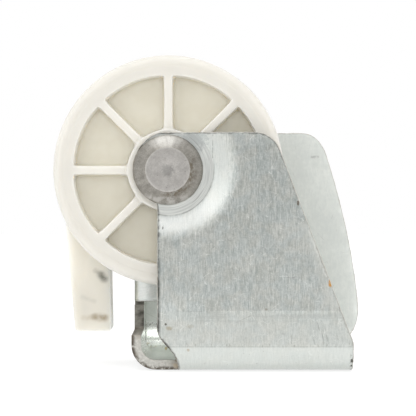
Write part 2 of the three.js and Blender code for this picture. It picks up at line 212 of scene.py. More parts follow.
def ear_outline():
    return [
        *curve((3, EAR_FOOT), (5, EAR_FOOT), (5.6, 15.5), count=6),
        *arc(0, AXLE_Z, 9.2, -0.22, PI * 1.13),
        (-7, FLANGE_TOP + 0.8),
        (EAR_X, FLANGE_TOP + 0.8),
        (EAR_X, FLANGE_TOP),
    ]


def rear_outline():
    """From the foot of the left-hand edge, round the catch's lobe and over to the right."""
    under = (PIVOT.x + LOBE_R * math.cos(1.6 * PI), PIVOT.z + LOBE_R * math.sin(1.6 * PI))
    return [
        (FLANGE_X, REAR_BEND + 0.01),
        *curve((FLANGE_X, 20.5), (-10.5, 24), under),
        *arc(PIVOT.x, PIVOT.z, LOBE_R, 1.6 * PI, PI / 2),
        *curve((PIVOT.x, PIVOT.z + LOBE_R), (-13, 40.5), (-11, 45))[1:],
        *curve((-11, 45), (-9, 49.2), (-4, 49.2))[1:],
        *curve((28.4, 49.2), (32.6, 49.2), (34.2, 43.5)),
        *curve((34.2, 43.5), (39.4, 27), (40.8, 12))[1:],
        *curve((40.8, 12), (41.2, 6.2), (WEB_END, 3))[1:],
        (WEB_END, 0.01),
    ]


def bracket_pattern():
    """The outline of the flat bracket, as one loop."""
    slit = 0.6
    corner_r = REAR_BEND - SHEET - slit
    rear_foot = arc(REAR_LINE, REAR_BEND, corner_r, 0, -PI / 2)
    loop = [on_front(x, z) for x, z in front_outline()]
    loop += [on_flange(FRONT_LINE, 7), on_flange(EAR_LINE - 0.2, 7.3)]
    loop += [on_flange(EAR_LINE - 0.2, EAR_FOOT - 0.8), on_flange(EAR_LINE + 2, EAR_FOOT - 0.8)]
    loop += [on_flange(EAR_LINE + 2, EAR_FOOT)]
    loop += [on_ear(x, z) for x, z in ear_outline()]
    loop += [on_flange(BACK_Y - SHEET - slit, FLANGE_TOP)]
    loop += [on_flange(y, z) for y, z in rear_foot]
    loop += [(CORNER_U, REAR_LINE), (CORNER_U, REAR_LINE + developed(REAR_BEND, REAR_BEND))]
    loop += [on_rear(x, z) for x, z in rear_outline()]
    return loop


def ring(place, x, z, radius):
    """A round hole as a loop of flat points."""
    return [place(*point) for point in arc(x, z, radius, 0, 2 * PI, HOLE_STEP)[:-1]]


def stepped(points, step):
    """The line through the points in steps of about step or less, without its last point."""
    line = []
    for a, b in zip(points, points[1:]):
        length = math.dist(a, b)
        if length > 1e-4:
            count = max(1, round(length / step))
            line += [between(a, b, i / count) for i in range(count)]
    return line


def inward_normals(loop):
    """Unit normals, pointing into the sheet, of a loop that has the sheet on its left."""
    points = np.array(loop)
    ahead = np.roll(points, -1, 0) - points
    ahead /= np.linalg.norm(ahead, axis=1)[:, None]
    both = ahead + np.roll(ahead, 1, 0)
    normal = np.stack([-both[:, 1], both[:, 0]], 1)
    return normal / np.maximum(np.linalg.norm(normal, axis=1), 0.3)[:, None]


def signed_area(loop):
    points = np.array(loop)
    after = np.roll(points, -1, 0)
    return float((points[:, 0] * after[:, 1] - after[:, 0] * points[:, 1]).sum() / 2)


def distances(points, loops):
    """Distance from each point to the nearest side of any loop."""
    best = np.full(len(points), 1e9)
    for loop in loops:
        starts = np.array(loop)
        sides = np.roll(starts, -1, 0) - starts
        lengths = (sides**2).sum(1)
        for start, side, length in zip(starts, sides, lengths):
            t = np.clip(((points - start) @ side) / length, 0, 1)
            best = np.minimum(best, np.linalg.norm(points - start - t[:, None] * side, axis=1))
    return best


def inside(points, loop):
    loop = np.array(loop)
    hit = np.zeros(len(points), bool)
    for (x0, y0), (x1, y1) in zip(loop, np.roll(loop, -1, 0)):
        crosses = (y0 > points[:, 1]) != (y1 > points[:, 1])
        at = (x1 - x0) * (points[:, 1] - y0) / ((y1 - y0) or 1e-12) + x0
        hit ^= crosses & (points[:, 0] < at)
    return hit


def sheet_mesh(name, outline, holes, filling, place, thickness, rounding, torn):
    """A closed sheet with rounded edges. place(u, s, depth) gives a point, in millimetres.

    outline and holes are flat loops, filling the flat points between them, and torn how far the
    cut edge is uneven. The "edge" attribute is 1 on the cut edge, 0.5 on the loops of the two
    faces and 0 inside them. "sheet" is the flat point and depth, in millimetres.
    """
    loops = [
        loop if (signed_area(loop) > 0) == (i == 0) else loop[::-1]
        for i, loop in enumerate([outline, *holes])
    ]
    turns = 4
    rims = [
        (rounding * (1 - math.sin(a)), rounding * (1 - math.cos(a)))
        for a in [PI / 2 * i / turns for i in range(turns + 1)]
    ]
    middle = [(0, thickness * f) for f in (0.3, 0.5, 0.7)]
    rims += middle + [(inset, thickness - depth) for inset, depth in reversed(rims)]

    points = [p for loop in loops for p in loop] + [tuple(p) for p in filling]
    edges, first = [], 0
    for loop in loops:
        edges += [(first + i, first + (i + 1) % len(loop)) for i in range(len(loop))]
        first += len(loop)
    flat, _, faces, origins, _, _ = delaunay_2d_cdt([Vector(p) for p in points], edges, [], 4, 1e-5)
    new_of = {old: new for new, olds in enumerate(origins) for old in olds}
    centres = np.array([sum((flat[i] for i in f), Vector((0, 0))) / len(f) for f in faces])
    solid = inside(centres, loops[0])
    for hole in loops[1:]:
        solid &= ~inside(centres, hole)
    faces = [f for f, kept in zip(faces, solid) if kept]
    normals = np.concatenate([inward_normals(loop) for loop in loops])
    move = {new_of[i]: normal for i, normal in enumerate(normals)}

    verts, marks, flats = [], [], []

    def add(u, s, depth, mark):
        verts.append(place(u, s, depth) * MM)
        marks.append(mark)
        flats.append((u, s, depth))
        return len(verts) - 1

    def layer(inset, depth):
        made = []
        for i, p in enumerate(flat):
            shift = move.get(i)
            if shift is None:
                made.append(add(p.x, p.y, depth, 0.0))
            else:
                made.append(add(p.x + shift[0] * inset, p.y + shift[1] * inset, depth, 0.5))
        return made

    outer = layer(*rims[0])
    inner = layer(*rims[-1])
    polygons = [[outer[i] for i in reversed(f)] for f in faces]
    polygons += [[inner[i] for i in f] for f in faces]
    first = 0
    for loop in loops:
        count = len(loop)
        rows = [[outer[new_of[first + i]] for i in range(count)]]
        for inset, depth in rims[1:-1]:
            row = []
            for i, (u, s) in enumerate(loop):
                n = normals[first + i]
                burr = torn * noise.fractal(Vector((u, s, depth * 1.5)) * 1.3, 0.6, 2.1, 4)
                row.append(add(u + n[0] * (inset - burr), s + n[1] * (inset - burr), depth, 1.0))
            rows.append(row)
        rows.append([inner[new_of[first + i]] for i in range(count)])
        for above, below in zip(rows, rows[1:]):
            for i in range(count):
                j = (i + 1) % count
                polygons.append([above[i], above[j], below[j], below[i]])
        first += count

    mesh = bpy.data.meshes.new(name)
    mesh.from_pydata(verts, [], polygons)
    mesh.attributes.new("edge", "FLOAT", "POINT").data.foreach_set("value", marks)
    sheet = mesh.attributes.new("sheet", "FLOAT_VECTOR", "POINT")
    sheet.data.foreach_set("vector", np.ravel(flats))
    return finished_mesh(name, mesh)


def finished_mesh(name, mesh, sharp=50):
    """An object of the mesh, smooth shaded but for edges over sharp degrees, faces outwards."""
    build = bmesh.new()
    build.from_mesh(mesh)
    bmesh.ops.remove_doubles(build, verts=build.verts, dist=1e-7)
    bmesh.ops.recalc_face_normals(build, faces=build.faces)
    for edge in build.edges:
        edge.smooth = len(edge.link_faces) != 2 or edge.calc_face_angle(0) < math.radians(sharp)
    for face in build.faces:
        face.smooth = True
    build.to_mesh(mesh)
    build.free()
    made = bpy.data.objects.new(name, mesh)
    bpy.context.scene.collection.objects.link(made)
    return made


def dish_depth(radius, dish):
    """How far a dished plate is pressed in at a distance from the axle.

    The wall is steepest at the pad and eases out to nothing at the rim.
    """
    steep = 0.5  # share of the wall that keeps its full slope
    along = (radius - dish["pad"]) / (dish["rim"] - dish["pad"])
    along = min(soft_max(along, 0, 0.03), 1)
    eased = max(along - steep, 0) / (1 - steep)
    fall = along - (1 - steep) * (eased**2 * 0.5)
    return dish["depth"] * (1 - min(fall / (1 - (1 - steep) * 0.5), 1))


def bracket_point(u, s, depth):
    point, normal = fold(u, s)
    radius = math.hypot(point.x, point.z - AXLE_Z)
    if abs(normal.y) > 0.99 and radius < DISH_REACH:
        if point.y < 0:
            point.y += dish_depth(radius, FRONT_DISH)
        elif point.y < EAR_Y + 1:
            point.y -= dish_depth(radius, EAR_DISH)
    # The catch rivet's hole is countersunk from the back.
    from_rivet = math.hypot(point.x - PIVOT.x, point.z - PIVOT.z)
    if point.y > BACK_Y - 0.01 and from_rivet < LOBE_R:
        share = min(depth / (SHEET - 0.5), 1)
        pull = (SINK_WIDE - SINK_NARROW) * share * (LOBE_R - from_rivet) / (LOBE_R - SINK_WIDE)
        away = Vector((point.x - PIVOT.x, 0, point.z - PIVOT.z)).normalized()
        point -= away * pull
    return point + normal * depth


def bracket_filling(outline, holes):
    """Flat points: rings round the axle on the two dished plates, and a grid elsewhere."""
    spacing, clear = 0.8, 0.42  # between points, and between them and the cut edge
    low, high = np.min(outline, 0) + (0.37, 0.41), np.max(outline, 0)
    columns, rows = (np.arange(low[i], high[i], spacing) for i in (0, 1))
    points = [np.stack(np.meshgrid(columns, rows), -1).reshape(-1, 2)]
    for place, dish in ((on_front, FRONT_DISH), (on_ear, EAR_DISH)):
        centre = np.array(place(0, AXLE_Z))
        pad, outer = dish["pad"], dish["rim"] + 2.4
        points[0] = points[0][np.linalg.norm(points[0] - centre, axis=1) > outer]
        crease = pad + np.array([-0.35, -0.15, 0, 0.15, 0.35])
        radii = [*np.arange(3.8, pad - 0.5, spacing), *crease, *np.arange(pad + 0.8, outer, 0.55)]
        for i, radius in enumerate(radii):
            count = int(2 * PI * radius / 0.75)
            angles = (np.arange(count) + 0.5 * (i % 2)) * 2 * PI / count
            points.append(centre + radius * np.stack([np.cos(angles), np.sin(angles)], 1))
    points = np.concatenate(points)
    keep = inside(points, outline)
    for hole in holes:
        keep &= ~inside(points, hole)
    points = points[keep]
    return points[distances(points, [outline, *holes]) > clear]


def make_bracket():
    outline = bracket_pattern()
    outline = stepped([*outline, outline[0]], OUTLINE_STEP)
    middle = (FRONT_LINE + REAR_LINE) / 2
    slot = arc(SLOT_FROM, middle, SLOT_HALF, PI / 2, PI * 1.5)
    slot += arc(SLOT_TO, middle, SLOT_HALF, -PI / 2, PI / 2)
    slot = stepped([*slot, slot[0]], OUTLINE_STEP)
    holes = [ring(place, 0, AXLE_Z, AXLE_HOLE) for place in (on_front, on_ear)]
    holes += [ring(on_rear, PIVOT.x, PIVOT.z, SINK_WIDE)]
    holes += [ring(on_rear, FIXING_X, z, FIXING_R) for z in FIXING_ZS] + [slot]
    filling = bracket_filling(outline, holes)
    return sheet_mesh("bracket_sheet", outline, holes, filling, bracket_point, SHEET, 0.16, 0.09)


bracket = make_bracket()
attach(bracket, "frame")
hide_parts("bracket")


# ---- wheel -----------------------------------------------------------------------------------
HUB_R, BORE_R, RIM_R, RIBS = 8.3, 5.8, 19.3, 8
RIB_HALF, WEB_HALF, FACE_HALF = 0.85, 2.4, 6.0  # halves of a rib, the web and the rim
RIM_STEP = 0.07  # how far the rim's outer band lies below its face


def into_pocket(radius, offset):
    """Distance from the nearest wall of a pocket, positive inside it."""
    return soft_min(soft_min(offset - RIB_HALF, radius - HUB_R, 0.5), RIM_R - radius, 0.5)


def wheel_face(radius, offset):
    """Distance of the wheel's side from its mid-plane, offset mm from the middle of a rib."""
    top = FACE_HALF + (HUB_HALF - FACE_HALF) * (1 - smooth(HUB_R - 0.05, HUB_R + 0.45, radius))
    top -= RIM_STEP * smooth(21.1, 21.5, radius)
    return top + (WEB_HALF - top) * smooth(-0.14, 0.14, into_pocket(radius, offset))


def wheel_rows():
    """Rows of (radius, y, kind) round one closed section of the wheel, starting in its bore."""
    near = [-0.3, -0.14, -0.07, 0, 0.07, 0.14, 0.24, 0.5, 0.8]
    radii = [BORE_R + 0.12, 6.6, 7.4, 7.9] + [HUB_R + d for d in near]
    radii += list(np.linspace(HUB_R + 1.6, RIM_R - 1.6, 9)) + [RIM_R - d for d in reversed(near)]
    radii += [19.9, 20.5, 21.0, 21.1, 21.2, 21.3, 21.4, 21.5]
    shoulder, tread = 1.5, FACE_HALF - RIM_STEP
    centre_r, centre_y = WHEEL_R - shoulder, tread - shoulder
    rows = [(r, -1, "face") for r in radii]
    for i in range(9):
        a = PI / 2 * i / 8
        rows.append((centre_r + shoulder * math.sin(a), -centre_y - shoulder * math.cos(a), "rim"))
    groove_r, groove_half = 21.9, 2.8
    for i in range(1, 7):
        t = smooth(0, 1, i / 6)
        y = -centre_y + (centre_y - groove_half) * i / 6
        rows.append((WHEEL_R + (groove_r - WHEEL_R) * t, y, "rim"))
    rows += [(groove_r, y, "rim") for y in (-1.4, 0)]
    mirrored = [(r, 1 if kind == "face" else -y, kind) for r, y, kind in reversed(rows[:-1])]
    lips = [(BORE_R, 6.38), (BORE_R, 3.3), (5.2, 3.2), (5.2, 2.52), (6.5, 2.52)]  # to the bearing
    bore = [(r, y, "rim") for r, y in lips] + [(r, -y, "rim") for r, y in reversed(lips)]
    return rows + mirrored + bore


def wheel_columns():
    """(mm from the nearest rib's middle, share of the way on to the pocket's middle, side)."""
    offsets = [0, 0.4, 0.6, 0.71, 0.78, 0.85, 0.92, 0.99, 1.09, 1.25, 1.5]
    half = [(w, 0) for w in offsets] + [(offsets[-1], f) for f in (0.22, 0.5, 0.78, 1.0)]
    return [(w, f, 1) for w, f in half] + [(w, f, -1) for w, f in reversed(half[1:-1])]


def make_wheel():
    sector = 2 * PI / RIBS
    verts, walls, rows = [], [], wheel_rows()
    columns = [(k, *c) for k in range(RIBS) for c in wheel_columns()]
    for radius, y, kind in rows:
        for k, offset, share, side in columns:
            start = math.asin(min(offset / radius, 0.95))
            turn = start + (sector / 2 - start) * share
            angle = (k + (side < 0)) * sector + side * turn
            beside = radius * math.sin(turn)
            place = y * wheel_face(radius, beside) if kind == "face" else y
            x, z = radius * math.cos(angle), AXLE_Z + radius * math.sin(angle)
            verts.append((x * MM, place * MM, z * MM))
            walls.append(into_pocket(radius, beside))
    wide = len(columns)
    faces = []
    for i in range(len(rows)):
        a, b = i * wide, (i + 1) % len(rows) * wide
        faces += [(a + j, a + (j + 1) % wide, b + (j + 1) % wide, b + j) for j in range(wide)]
    mesh = bpy.data.meshes.new("wheel_spoked")
    mesh.from_pydata(verts, [], faces)
    mesh.attributes.new("wall", "FLOAT", "POINT").data.foreach_set("value", walls)
    return finished_mesh("wheel_spoked", mesh, sharp=60)


wheel = make_wheel()
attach(wheel, "wheel")
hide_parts("wheel")


# ---- axle rivet ------------------------------------------------------------------------------
def turned_mesh(name, profile, centre, segments, rough):
    """A body of revolution about the line along Y through centre, closed on that line.

    rough(radius, angle, y) gives how far a point is moved out along the profile's normal.
    """
    profile = np.array(profile, float)
    run = np.gradient(profile, axis=0)
    normal = np.stack([run[:, 1], -run[:, 0]], 1)
    normal /= np.maximum(np.linalg.norm(normal, axis=1), 1e-6)[:, None]
    build = bmesh.new()
    rings = []
    for (radius, y), (out, along) in zip(profile, normal):
        if radius < 1e-6:
            rings.append([build.verts.new(Vector((centre.x, y, centre.z)) * MM)])
            continue
        made = []
        for i in range(segments):
            a = 2 * PI * i / segments
            d = rough(radius, a, y)
            r = radius + out * d
            x, z = centre.x + r * math.cos(a), centre.z + r * math.sin(a)
            made.append(build.verts.new(Vector((x, y + along * d, z)) * MM))
        rings.append(made)
    for low, high in zip(rings, rings[1:]):
        for i in range(segments):
            j = (i + 1) % segments
            corners = [low[i % len(low)], low[j % len(low)]]
            corners += [high[j % len(high)], high[i % len(high)]]
            corners = list(dict.fromkeys(corners))  # two are one point on the axis
            if len(corners) > 2:
                build.faces.new(corners)
    mesh = bpy.data.meshes.new(name)
    build.to_mesh(mesh)
    build.free()
    return finished_mesh(name, mesh)


def head_roughness(radius, angle, y):
    """Peened grain on the rivet's cone, with a few radial drag marks, and a calmer flat top."""
    if y > rivet_low.y + 2.4:
        return 0
    at = Vector((radius * math.cos(angle), radius * math.sin(angle), y))
    cone = smooth(4.3, 5.1, radius)
    grain = noise.fractal(at * 2.1, 0.7, 2.2, 5)
    drag = noise.noise(Vector((math.cos(angle) * 9, math.sin(angle) * 9, radius * 0.25)))
    return 0.02 * cone * grain + 0.03 * cone * drag + 0.01 * noise.fractal(at * 0.8, 0.8, 2, 3)


def make_rivet():
    low, high = rivet_low.y + 0.02, rivet_high.y
    seat = 9.02  # from the middle to where the head and the tail bear on the dished plates
    head_r, flat_r, shank_r, tail_r = (rivet_high.x - rivet_low.x) / 2, 4.5, 2.97, 5.5
    head = [(0, low + 0.12), (0.6, low + 0.11), (1.2, low + 0.07), (2.0, low + 0.02), (2.6, low)]
    head += [(flat_r - 0.1, low), (flat_r + 0.02, low + 0.03), (flat_r + 0.14, low + 0.1)]
    head += [(head_r - 0.4, -seat - 0.78), (head_r - 0.12, -seat - 0.5)]
    head += [(head_r, -seat - 0.2), (head_r - 0.06, -seat)]
    tail = [(shank_r, -seat), (shank_r, seat), (tail_r - 0.05, seat)]
    tail += [(tail_r, seat + 0.2), (tail_r, high - 0.7)]
    tail += [(tail_r - 0.15, high - 0.3), (tail_r - 0.6, high), (1.2, high), (0, high - 0.15)]
    profile = [*stepped(head + tail, 0.22), tail[-1]]
    return turned_mesh("axle_rivet_peened", profile, AXLE, 128, head_roughness)


rivet = make_rivet()
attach(rivet, "frame")
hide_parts("axle_rivet")


# ---- small pieces carried over ---------------------------------------------------------------
def weld(node):
    """Joins the corners of a CAD node's facets and shades it smooth."""
    piece = nodes[node]
    piece.modifiers.new("weld", "WELD").merge_threshold = 2e-6
    for face in piece.data.polygons:
        face.use_smooth = True
    return piece


def refine(node, edge, segments):
    """Rounds the edges of a CAD node and smooths its turned surfaces."""
    piece = weld(node)
    flatten = piece.modifiers.new("flatten", "DECIMATE")
    flatten.decimate_type = "DISSOLVE"
    flatten.angle_limit = math.radians(0.5)
    bevel = piece.modifiers.new("bevel", "BEVEL")
    bevel.limit_method, bevel.angle_limit = "ANGLE", math.radians(32)
    bevel.width, bevel.segments = edge * MM, segments


for name, edge in {
    "catch_lever": 0.6,
    "catch_rivet": 0.12,
    "catch_washer": 0.08,
    "catch_wave_washer": 0.04,
    "front_spacer": 0.15,
    "rear_spacer": 0.15,
    "bearing_inner_ring": 0.1,
    "bearing_outer_ring": 0.1,
    "bearing_cage": 0.06,
    "bearing_front_shield": 0.06,
    "bearing_rear_shield": 0.06,
}.items():
    refine(name, edge, 3 if name == "catch_lever" else 2)

BALLS = [name for name in nodes if name.startswith("bearing_ball")]
for name in BALLS:
    facets = weld(name).modifiers.new("round", "SUBSURF")
    facets.levels = facets.render_levels = 1


# ---- materials -------------------------------------------------------------------------------
class Field:
    """A number or colour that varies over a material."""

    def __init__(self, look, socket):
        self.look, self.socket = look, socket

    def __add__(self, other):
        return self.look.math("ADD", self, other)

    def __sub__(self, number):
        return self + -number

    def __mul__(self, other):
        return self.look.math("MULTIPLY", self, other)

    def __abs__(self):
        return self.look.math("ABSOLUTE", self)

    def ramp(self, low, high, to_low=0.0, to_high=1.0):
        """The field from low to high, eased and mapped onto to_low to to_high."""
        limits = {"From Min": low, "From Max": high, "To Min": to_low, "To Max": to_high}
        eased = {"interpolation_type": "SMOOTHSTEP"}
        return self.look.field("Result", "ShaderNodeMapRange", eased, Value=self, **limits)

    def band(self, low, high, soft):
        """1 where the field is between low and high, with soft sides."""
        return self.ramp(low - soft, low + soft) * self.ramp(high + soft, high - soft)


class Look:
    """A procedural material, built from nodes whose coordinates are millimetres on the piece."""

    def __init__(self, name):
        self.material = bpy.data.materials.new(name)
        self.material.use_nodes = True
        self.tree = self.material.node_tree
        self.shader = self.tree.nodes["Principled BSDF"]
        self.mm = self.vector("SCALE", self.field("Object", "ShaderNodeTexCoord"), scale=1 / MM)
        axes = self.add("ShaderNodeSeparateXYZ", Vector=self.mm).outputs
        self.x, self.y, self.z = (Field(self, axes[axis]) for axis in "XYZ")

    def add(self, kind, settings=None, **inputs):
        node = self.tree.nodes.new(kind)
        for key, value in (settings or {}).items():
            setattr(node, key, value)
        for key, value in inputs.items():
            self.feed(node.inputs[key], value)
        return node

    def field(self, output, kind, settings=None, **inputs):
        """One output of a new node."""
        return Field(self, self.add(kind, settings, **inputs).outputs[output])

    def feed(self, socket, value):
        if isinstance(value, Field):
            self.tree.links.new(value.socket, socket)
        elif isinstance(value, tuple) and socket.type == "RGBA":
            socket.default_value = (*value, 1)
        else:
            socket.default_value = value

    def vector(self, operation, a, b=(0, 0, 0), scale=1.0):
        node = self.add("ShaderNodeVectorMath", {"operation": operation})
        self.feed(node.inputs[0], a)
        if operation == "SCALE":
            self.feed(node.inputs["Scale"], scale)
        elif operation != "LENGTH":
            self.feed(node.inputs[1], b)
        number = operation in ("LENGTH", "DOT_PRODUCT")
        return Field(self, node.outputs["Value" if number else "Vector"])

    def math(self, operation, a, b=0.0):
        node = self.add("ShaderNodeMath", {"operation": operation})
        self.feed(node.inputs[0], a)
        self.feed(node.inputs[1], b)
        return Field(self, node.outputs["Value"])

    def texture(self, at, detail=3.0, **inputs):
        kind = "ShaderNodeTexNoise"
        return self.field("Fac", kind, Vector=at, Scale=1.0, Detail=detail, **inputs)

    def noise(self, scale, detail=3.0, roughness=0.55, stretch=(1, 1, 1), place=None):
        """Noise of about scale grains a millimetre, from 0 to 1."""
        stretched = tuple(scale * v for v in stretch)
        at = self.vector("MULTIPLY", place or self.mm, stretched)
        return self.texture(at, detail, Roughness=roughness)

    def cracks(self, scale, width, place=None):
        """Thin crooked lines between cells of about 1 / scale millimetres, width mm wide."""
        at = self.vector("SCALE", place or self.mm, scale=scale)
        edges = {"feature": "DISTANCE_TO_EDGE"}
        cells = self.field("Distance", "ShaderNodeTexVoronoi", edges, Vector=at, Scale=1.0)
        return cells.ramp(width * scale / 2, 0.0)

    def mix(self, share, a, b):
        """Colour a where share is 0 and colour b where it is 1."""
        node = self.add("ShaderNodeMix", {"data_type": "RGBA"}, Factor=share)
        colours = [i for i in node.inputs if i.type == "RGBA"]
        self.feed(colours[0], a)
        self.feed(colours[1], b)
        return Field(self, next(o for o in node.outputs if o.type == "RGBA"))

    def coats(self, colour, *coats):
        """The colour with coats over it, each a share and a colour."""
        for share, tint in coats:
            colour = self.mix(share, colour, tint)
        return colour

    def brighter(self, colour, share, amount):
        """The colour scaled by 1 + amount where share is 1."""
        return self.vector("SCALE", colour, scale=share * amount + 1.0)

    def beside(self, x, z):
        """Vector from the line along Y through (x, z), square to Y."""
        flat = self.field("Vector", "ShaderNodeCombineXYZ", X=self.x, Z=self.z)
        return self.vector("SUBTRACT", flat, (x, 0, z))

    def radius(self, x=0, z=AXLE_Z):
        return self.vector("LENGTH", self.beside(x, z))

    def turning(self, fine, coarse, x=0, z=AXLE_Z):
        """Noise drawn out round the line along Y through (x, z).

        It has fine grains a millimetre along the radius and coarse ones round the line.
        """
        across = self.field("Vector", "ShaderNodeCombineXYZ", Y=self.radius(x, z) * fine)
        around = self.vector("SCALE", self.beside(x, z), scale=coarse)
        return self.texture(self.vector("ADD", around, across))

    def rays(self, count):
        """Noise drawn out along the radii from the axle."""
        unit = self.vector("NORMALIZE", self.beside(0, AXLE_Z))
        slow = self.vector("SCALE", self.mm, scale=0.3)
        return self.texture(self.vector("ADD", self.vector("SCALE", unit, scale=count), slow), 4.0)

    def spot(self, x, z, wide, high, ragged):
        """A ragged spot, 1 at (x, z) and 0 about wide and high millimetres away."""
        off = self.vector("MULTIPLY", self.beside(x, z), (1 / wide, 0, 1 / high))
        away = self.vector("LENGTH", off) + self.noise(1.7, 4, 0.65) * (2 * ragged) - ragged
        return away.ramp(1.0, 0.45)

    def scratch(self, start, end, width):
        """A thin line from start to end, both (x, z)."""
        run = Vector((end[0] - start[0], 0, end[1] - start[1]))
        off = self.beside(*start)
        along = self.vector("DOT_PRODUCT", off, tuple(run)) * (1 / run.length_squared)
        along = self.math("MINIMUM", self.math("MAXIMUM", along, 0.0), 1.0)
        nearest = self.vector("SCALE", tuple(run), scale=along)
        away = self.vector("LENGTH", self.vector("SUBTRACT", off, nearest))
        wander = (self.noise(0.9) - 0.5) * 0.35
        return abs(away + wander).ramp(width, 0.0)

    def attribute(self, name, output="Fac"):
        return self.field(output, "ShaderNodeAttribute", {"attribute_name": name})

    def bump(self, height, distance):
        """Adds a bump of distance millimetres to those before it."""
        node = self.add("ShaderNodeBump", Height=height, Strength=1.0, Distance=distance * MM)
        normal = self.shader.inputs["Normal"]
        if normal.links:
            self.tree.links.new(normal.links[0].from_socket, node.inputs["Normal"])
        self.tree.links.new(node.outputs["Normal"], normal)

    def surface(self, **inputs):
        for key, value in inputs.items():
            self.feed(self.shader.inputs[key.replace("_", " ")], value)
        return self.material


ROLLED = (5.2, 3, 0.65, (1, 0.11, 1))  # noise of short dashes along the rolling direction


def outer_zinc(look, sheet):
    """Colour and roughness of the sheet's outer side: grey, brushed along the rolling direction."""
    dashes = look.noise(*ROLLED, sheet)
    streaks = look.noise(2.1, 3, 0.55, (1, 0.06, 1), sheet)
    mottle = look.noise(1.5, 4, 0.7)
    tone = dashes * 0.9 + streaks * 0.4 + look.noise(0.13, 3, 0.6) * 0.3
    tone = (tone + mottle * 0.3 + look.noise(3.4, 3, 0.7) * 0.5).ramp(0.92, 1.48)
    blue = look.mix(tone, (0.355, 0.39, 0.376), (0.62, 0.646, 0.625))
    warm = look.mix(tone, (0.38, 0.40, 0.372), (0.64, 0.65, 0.615))
    colour = look.mix(look.noise(0.35, 4).ramp(0.4, 0.62), blue, warm)
    pale = look.cracks(0.42, 0.13) * look.noise(0.6, 2).ramp(0.54, 0.6)
    worn = look.noise(0.5, 2, 0.5, (1, 1, 1), sheet).ramp(0.58, 0.63)
    dark = look.cracks(0.31, 0.14, sheet) * worn
    colour = look.coats(colour, (pale * 0.5, (0.90, 0.91, 0.88)), (dark * 0.45, (0.25, 0.26, 0.26)))
    return colour, (dashes + mottle).ramp(0.7, 1.3, 0.3, 0.38)


def inner_zinc(look, sheet):
    """Colour of the sheet's inner side: paler than the outer side as painted light, cloudy, with
    faint rubs, a fleck and two smears.
    """
    clouds = look.noise(0.12, 4, 0.6) * 0.6 + look.noise(1.4, 4, 0.6) * 0.4
    tone = (clouds + look.noise(2.2, 3, 0.6, (1, 0.25, 1), sheet) * 0.4).ramp(0.5, 0.95)
    fleck = look.spot(-1.0, 2.55, 0.4, 0.4, 0.3) * look.z.ramp(2.02, 2.1)  # none on the web
    rubs = look.cracks(0.23, 0.2) * look.noise(0.33, 2).ramp(0.57, 0.62)
    smear = look.scratch((30.7, 44.0), (32.1, 44.1), 0.45)
    smear = smear + look.scratch((40.6, 16.0), (40.7, 14.6), 0.3)
    return look.coats(
        # The paleness of both tones is painted light.
        look.mix(tone, (0.74, 0.77, 0.735), (0.855, 0.88, 0.835)),
        (fleck * 0.8, (0.42, 0.33, 0.12)),
        (rubs * 0.3, (0.45, 0.46, 0.43)),
        (smear * look.noise(1.6, 4).ramp(0.3, 0.6) * 0.5, (0.3, 0.3, 0.28)),
    )


def press_marks(look, colour):
    """The lighter strip the press-brake's die left along the front plate's foot, and its bend,
    painted paler as a reflection of the floor.
    """
    z, right = look.z, look.x.ramp(4.5, 9.5)
    strip = z.ramp(12.35, 12.1) * right + z.ramp(16.5, 11.0) * (right * -1.0 + 1.0)
    rubbed = look.noise(1.0, 3, 0.6, (0.12, 1, 1.6)).ramp(0.48, 0.62)
    rubbed = z.band(9.8, 11.9, 0.4) * look.x.ramp(4, 7) * rubbed
    crease = z.band(4.9, 5.05, 0.12) * look.noise(0.9, 3).ramp(0.35, 0.6, 0.1, 0.4)
    nicked = z.band(5.0, 5.7, 0.4) * look.noise(1.7, 3, 0.6, (1, 1, 0.35)).ramp(0.57, 0.68)
    pocked = look.noise(1.3, 4, 0.7, (1, 1, 0.7)).ramp(0.66, 0.72) * z.ramp(4.6, 4.2)
    return look.coats(
        look.brighter(colour, strip, 0.15),
        (z.ramp(12.3, 11.8) * 0.3, (0.585, 0.605, 0.57)),  # evens out the strip
        (rubbed * 0.3, (0.42, 0.44, 0.42)),
        (z.band(4.95, 10.1, 0.1) * 0.12, (0.70, 0.69, 0.64)),
        (z.ramp(5.0, 4.85) * 0.6, (0.695, 0.72, 0.69)),  # the bend, painted paler: a painted reflection of the floor
        (crease, (0.20, 0.20, 0.17)),
        (nicked * 0.6, (0.24, 0.23, 0.20)),
        (pocked * 0.6, (0.30, 0.29, 0.27)),
    )


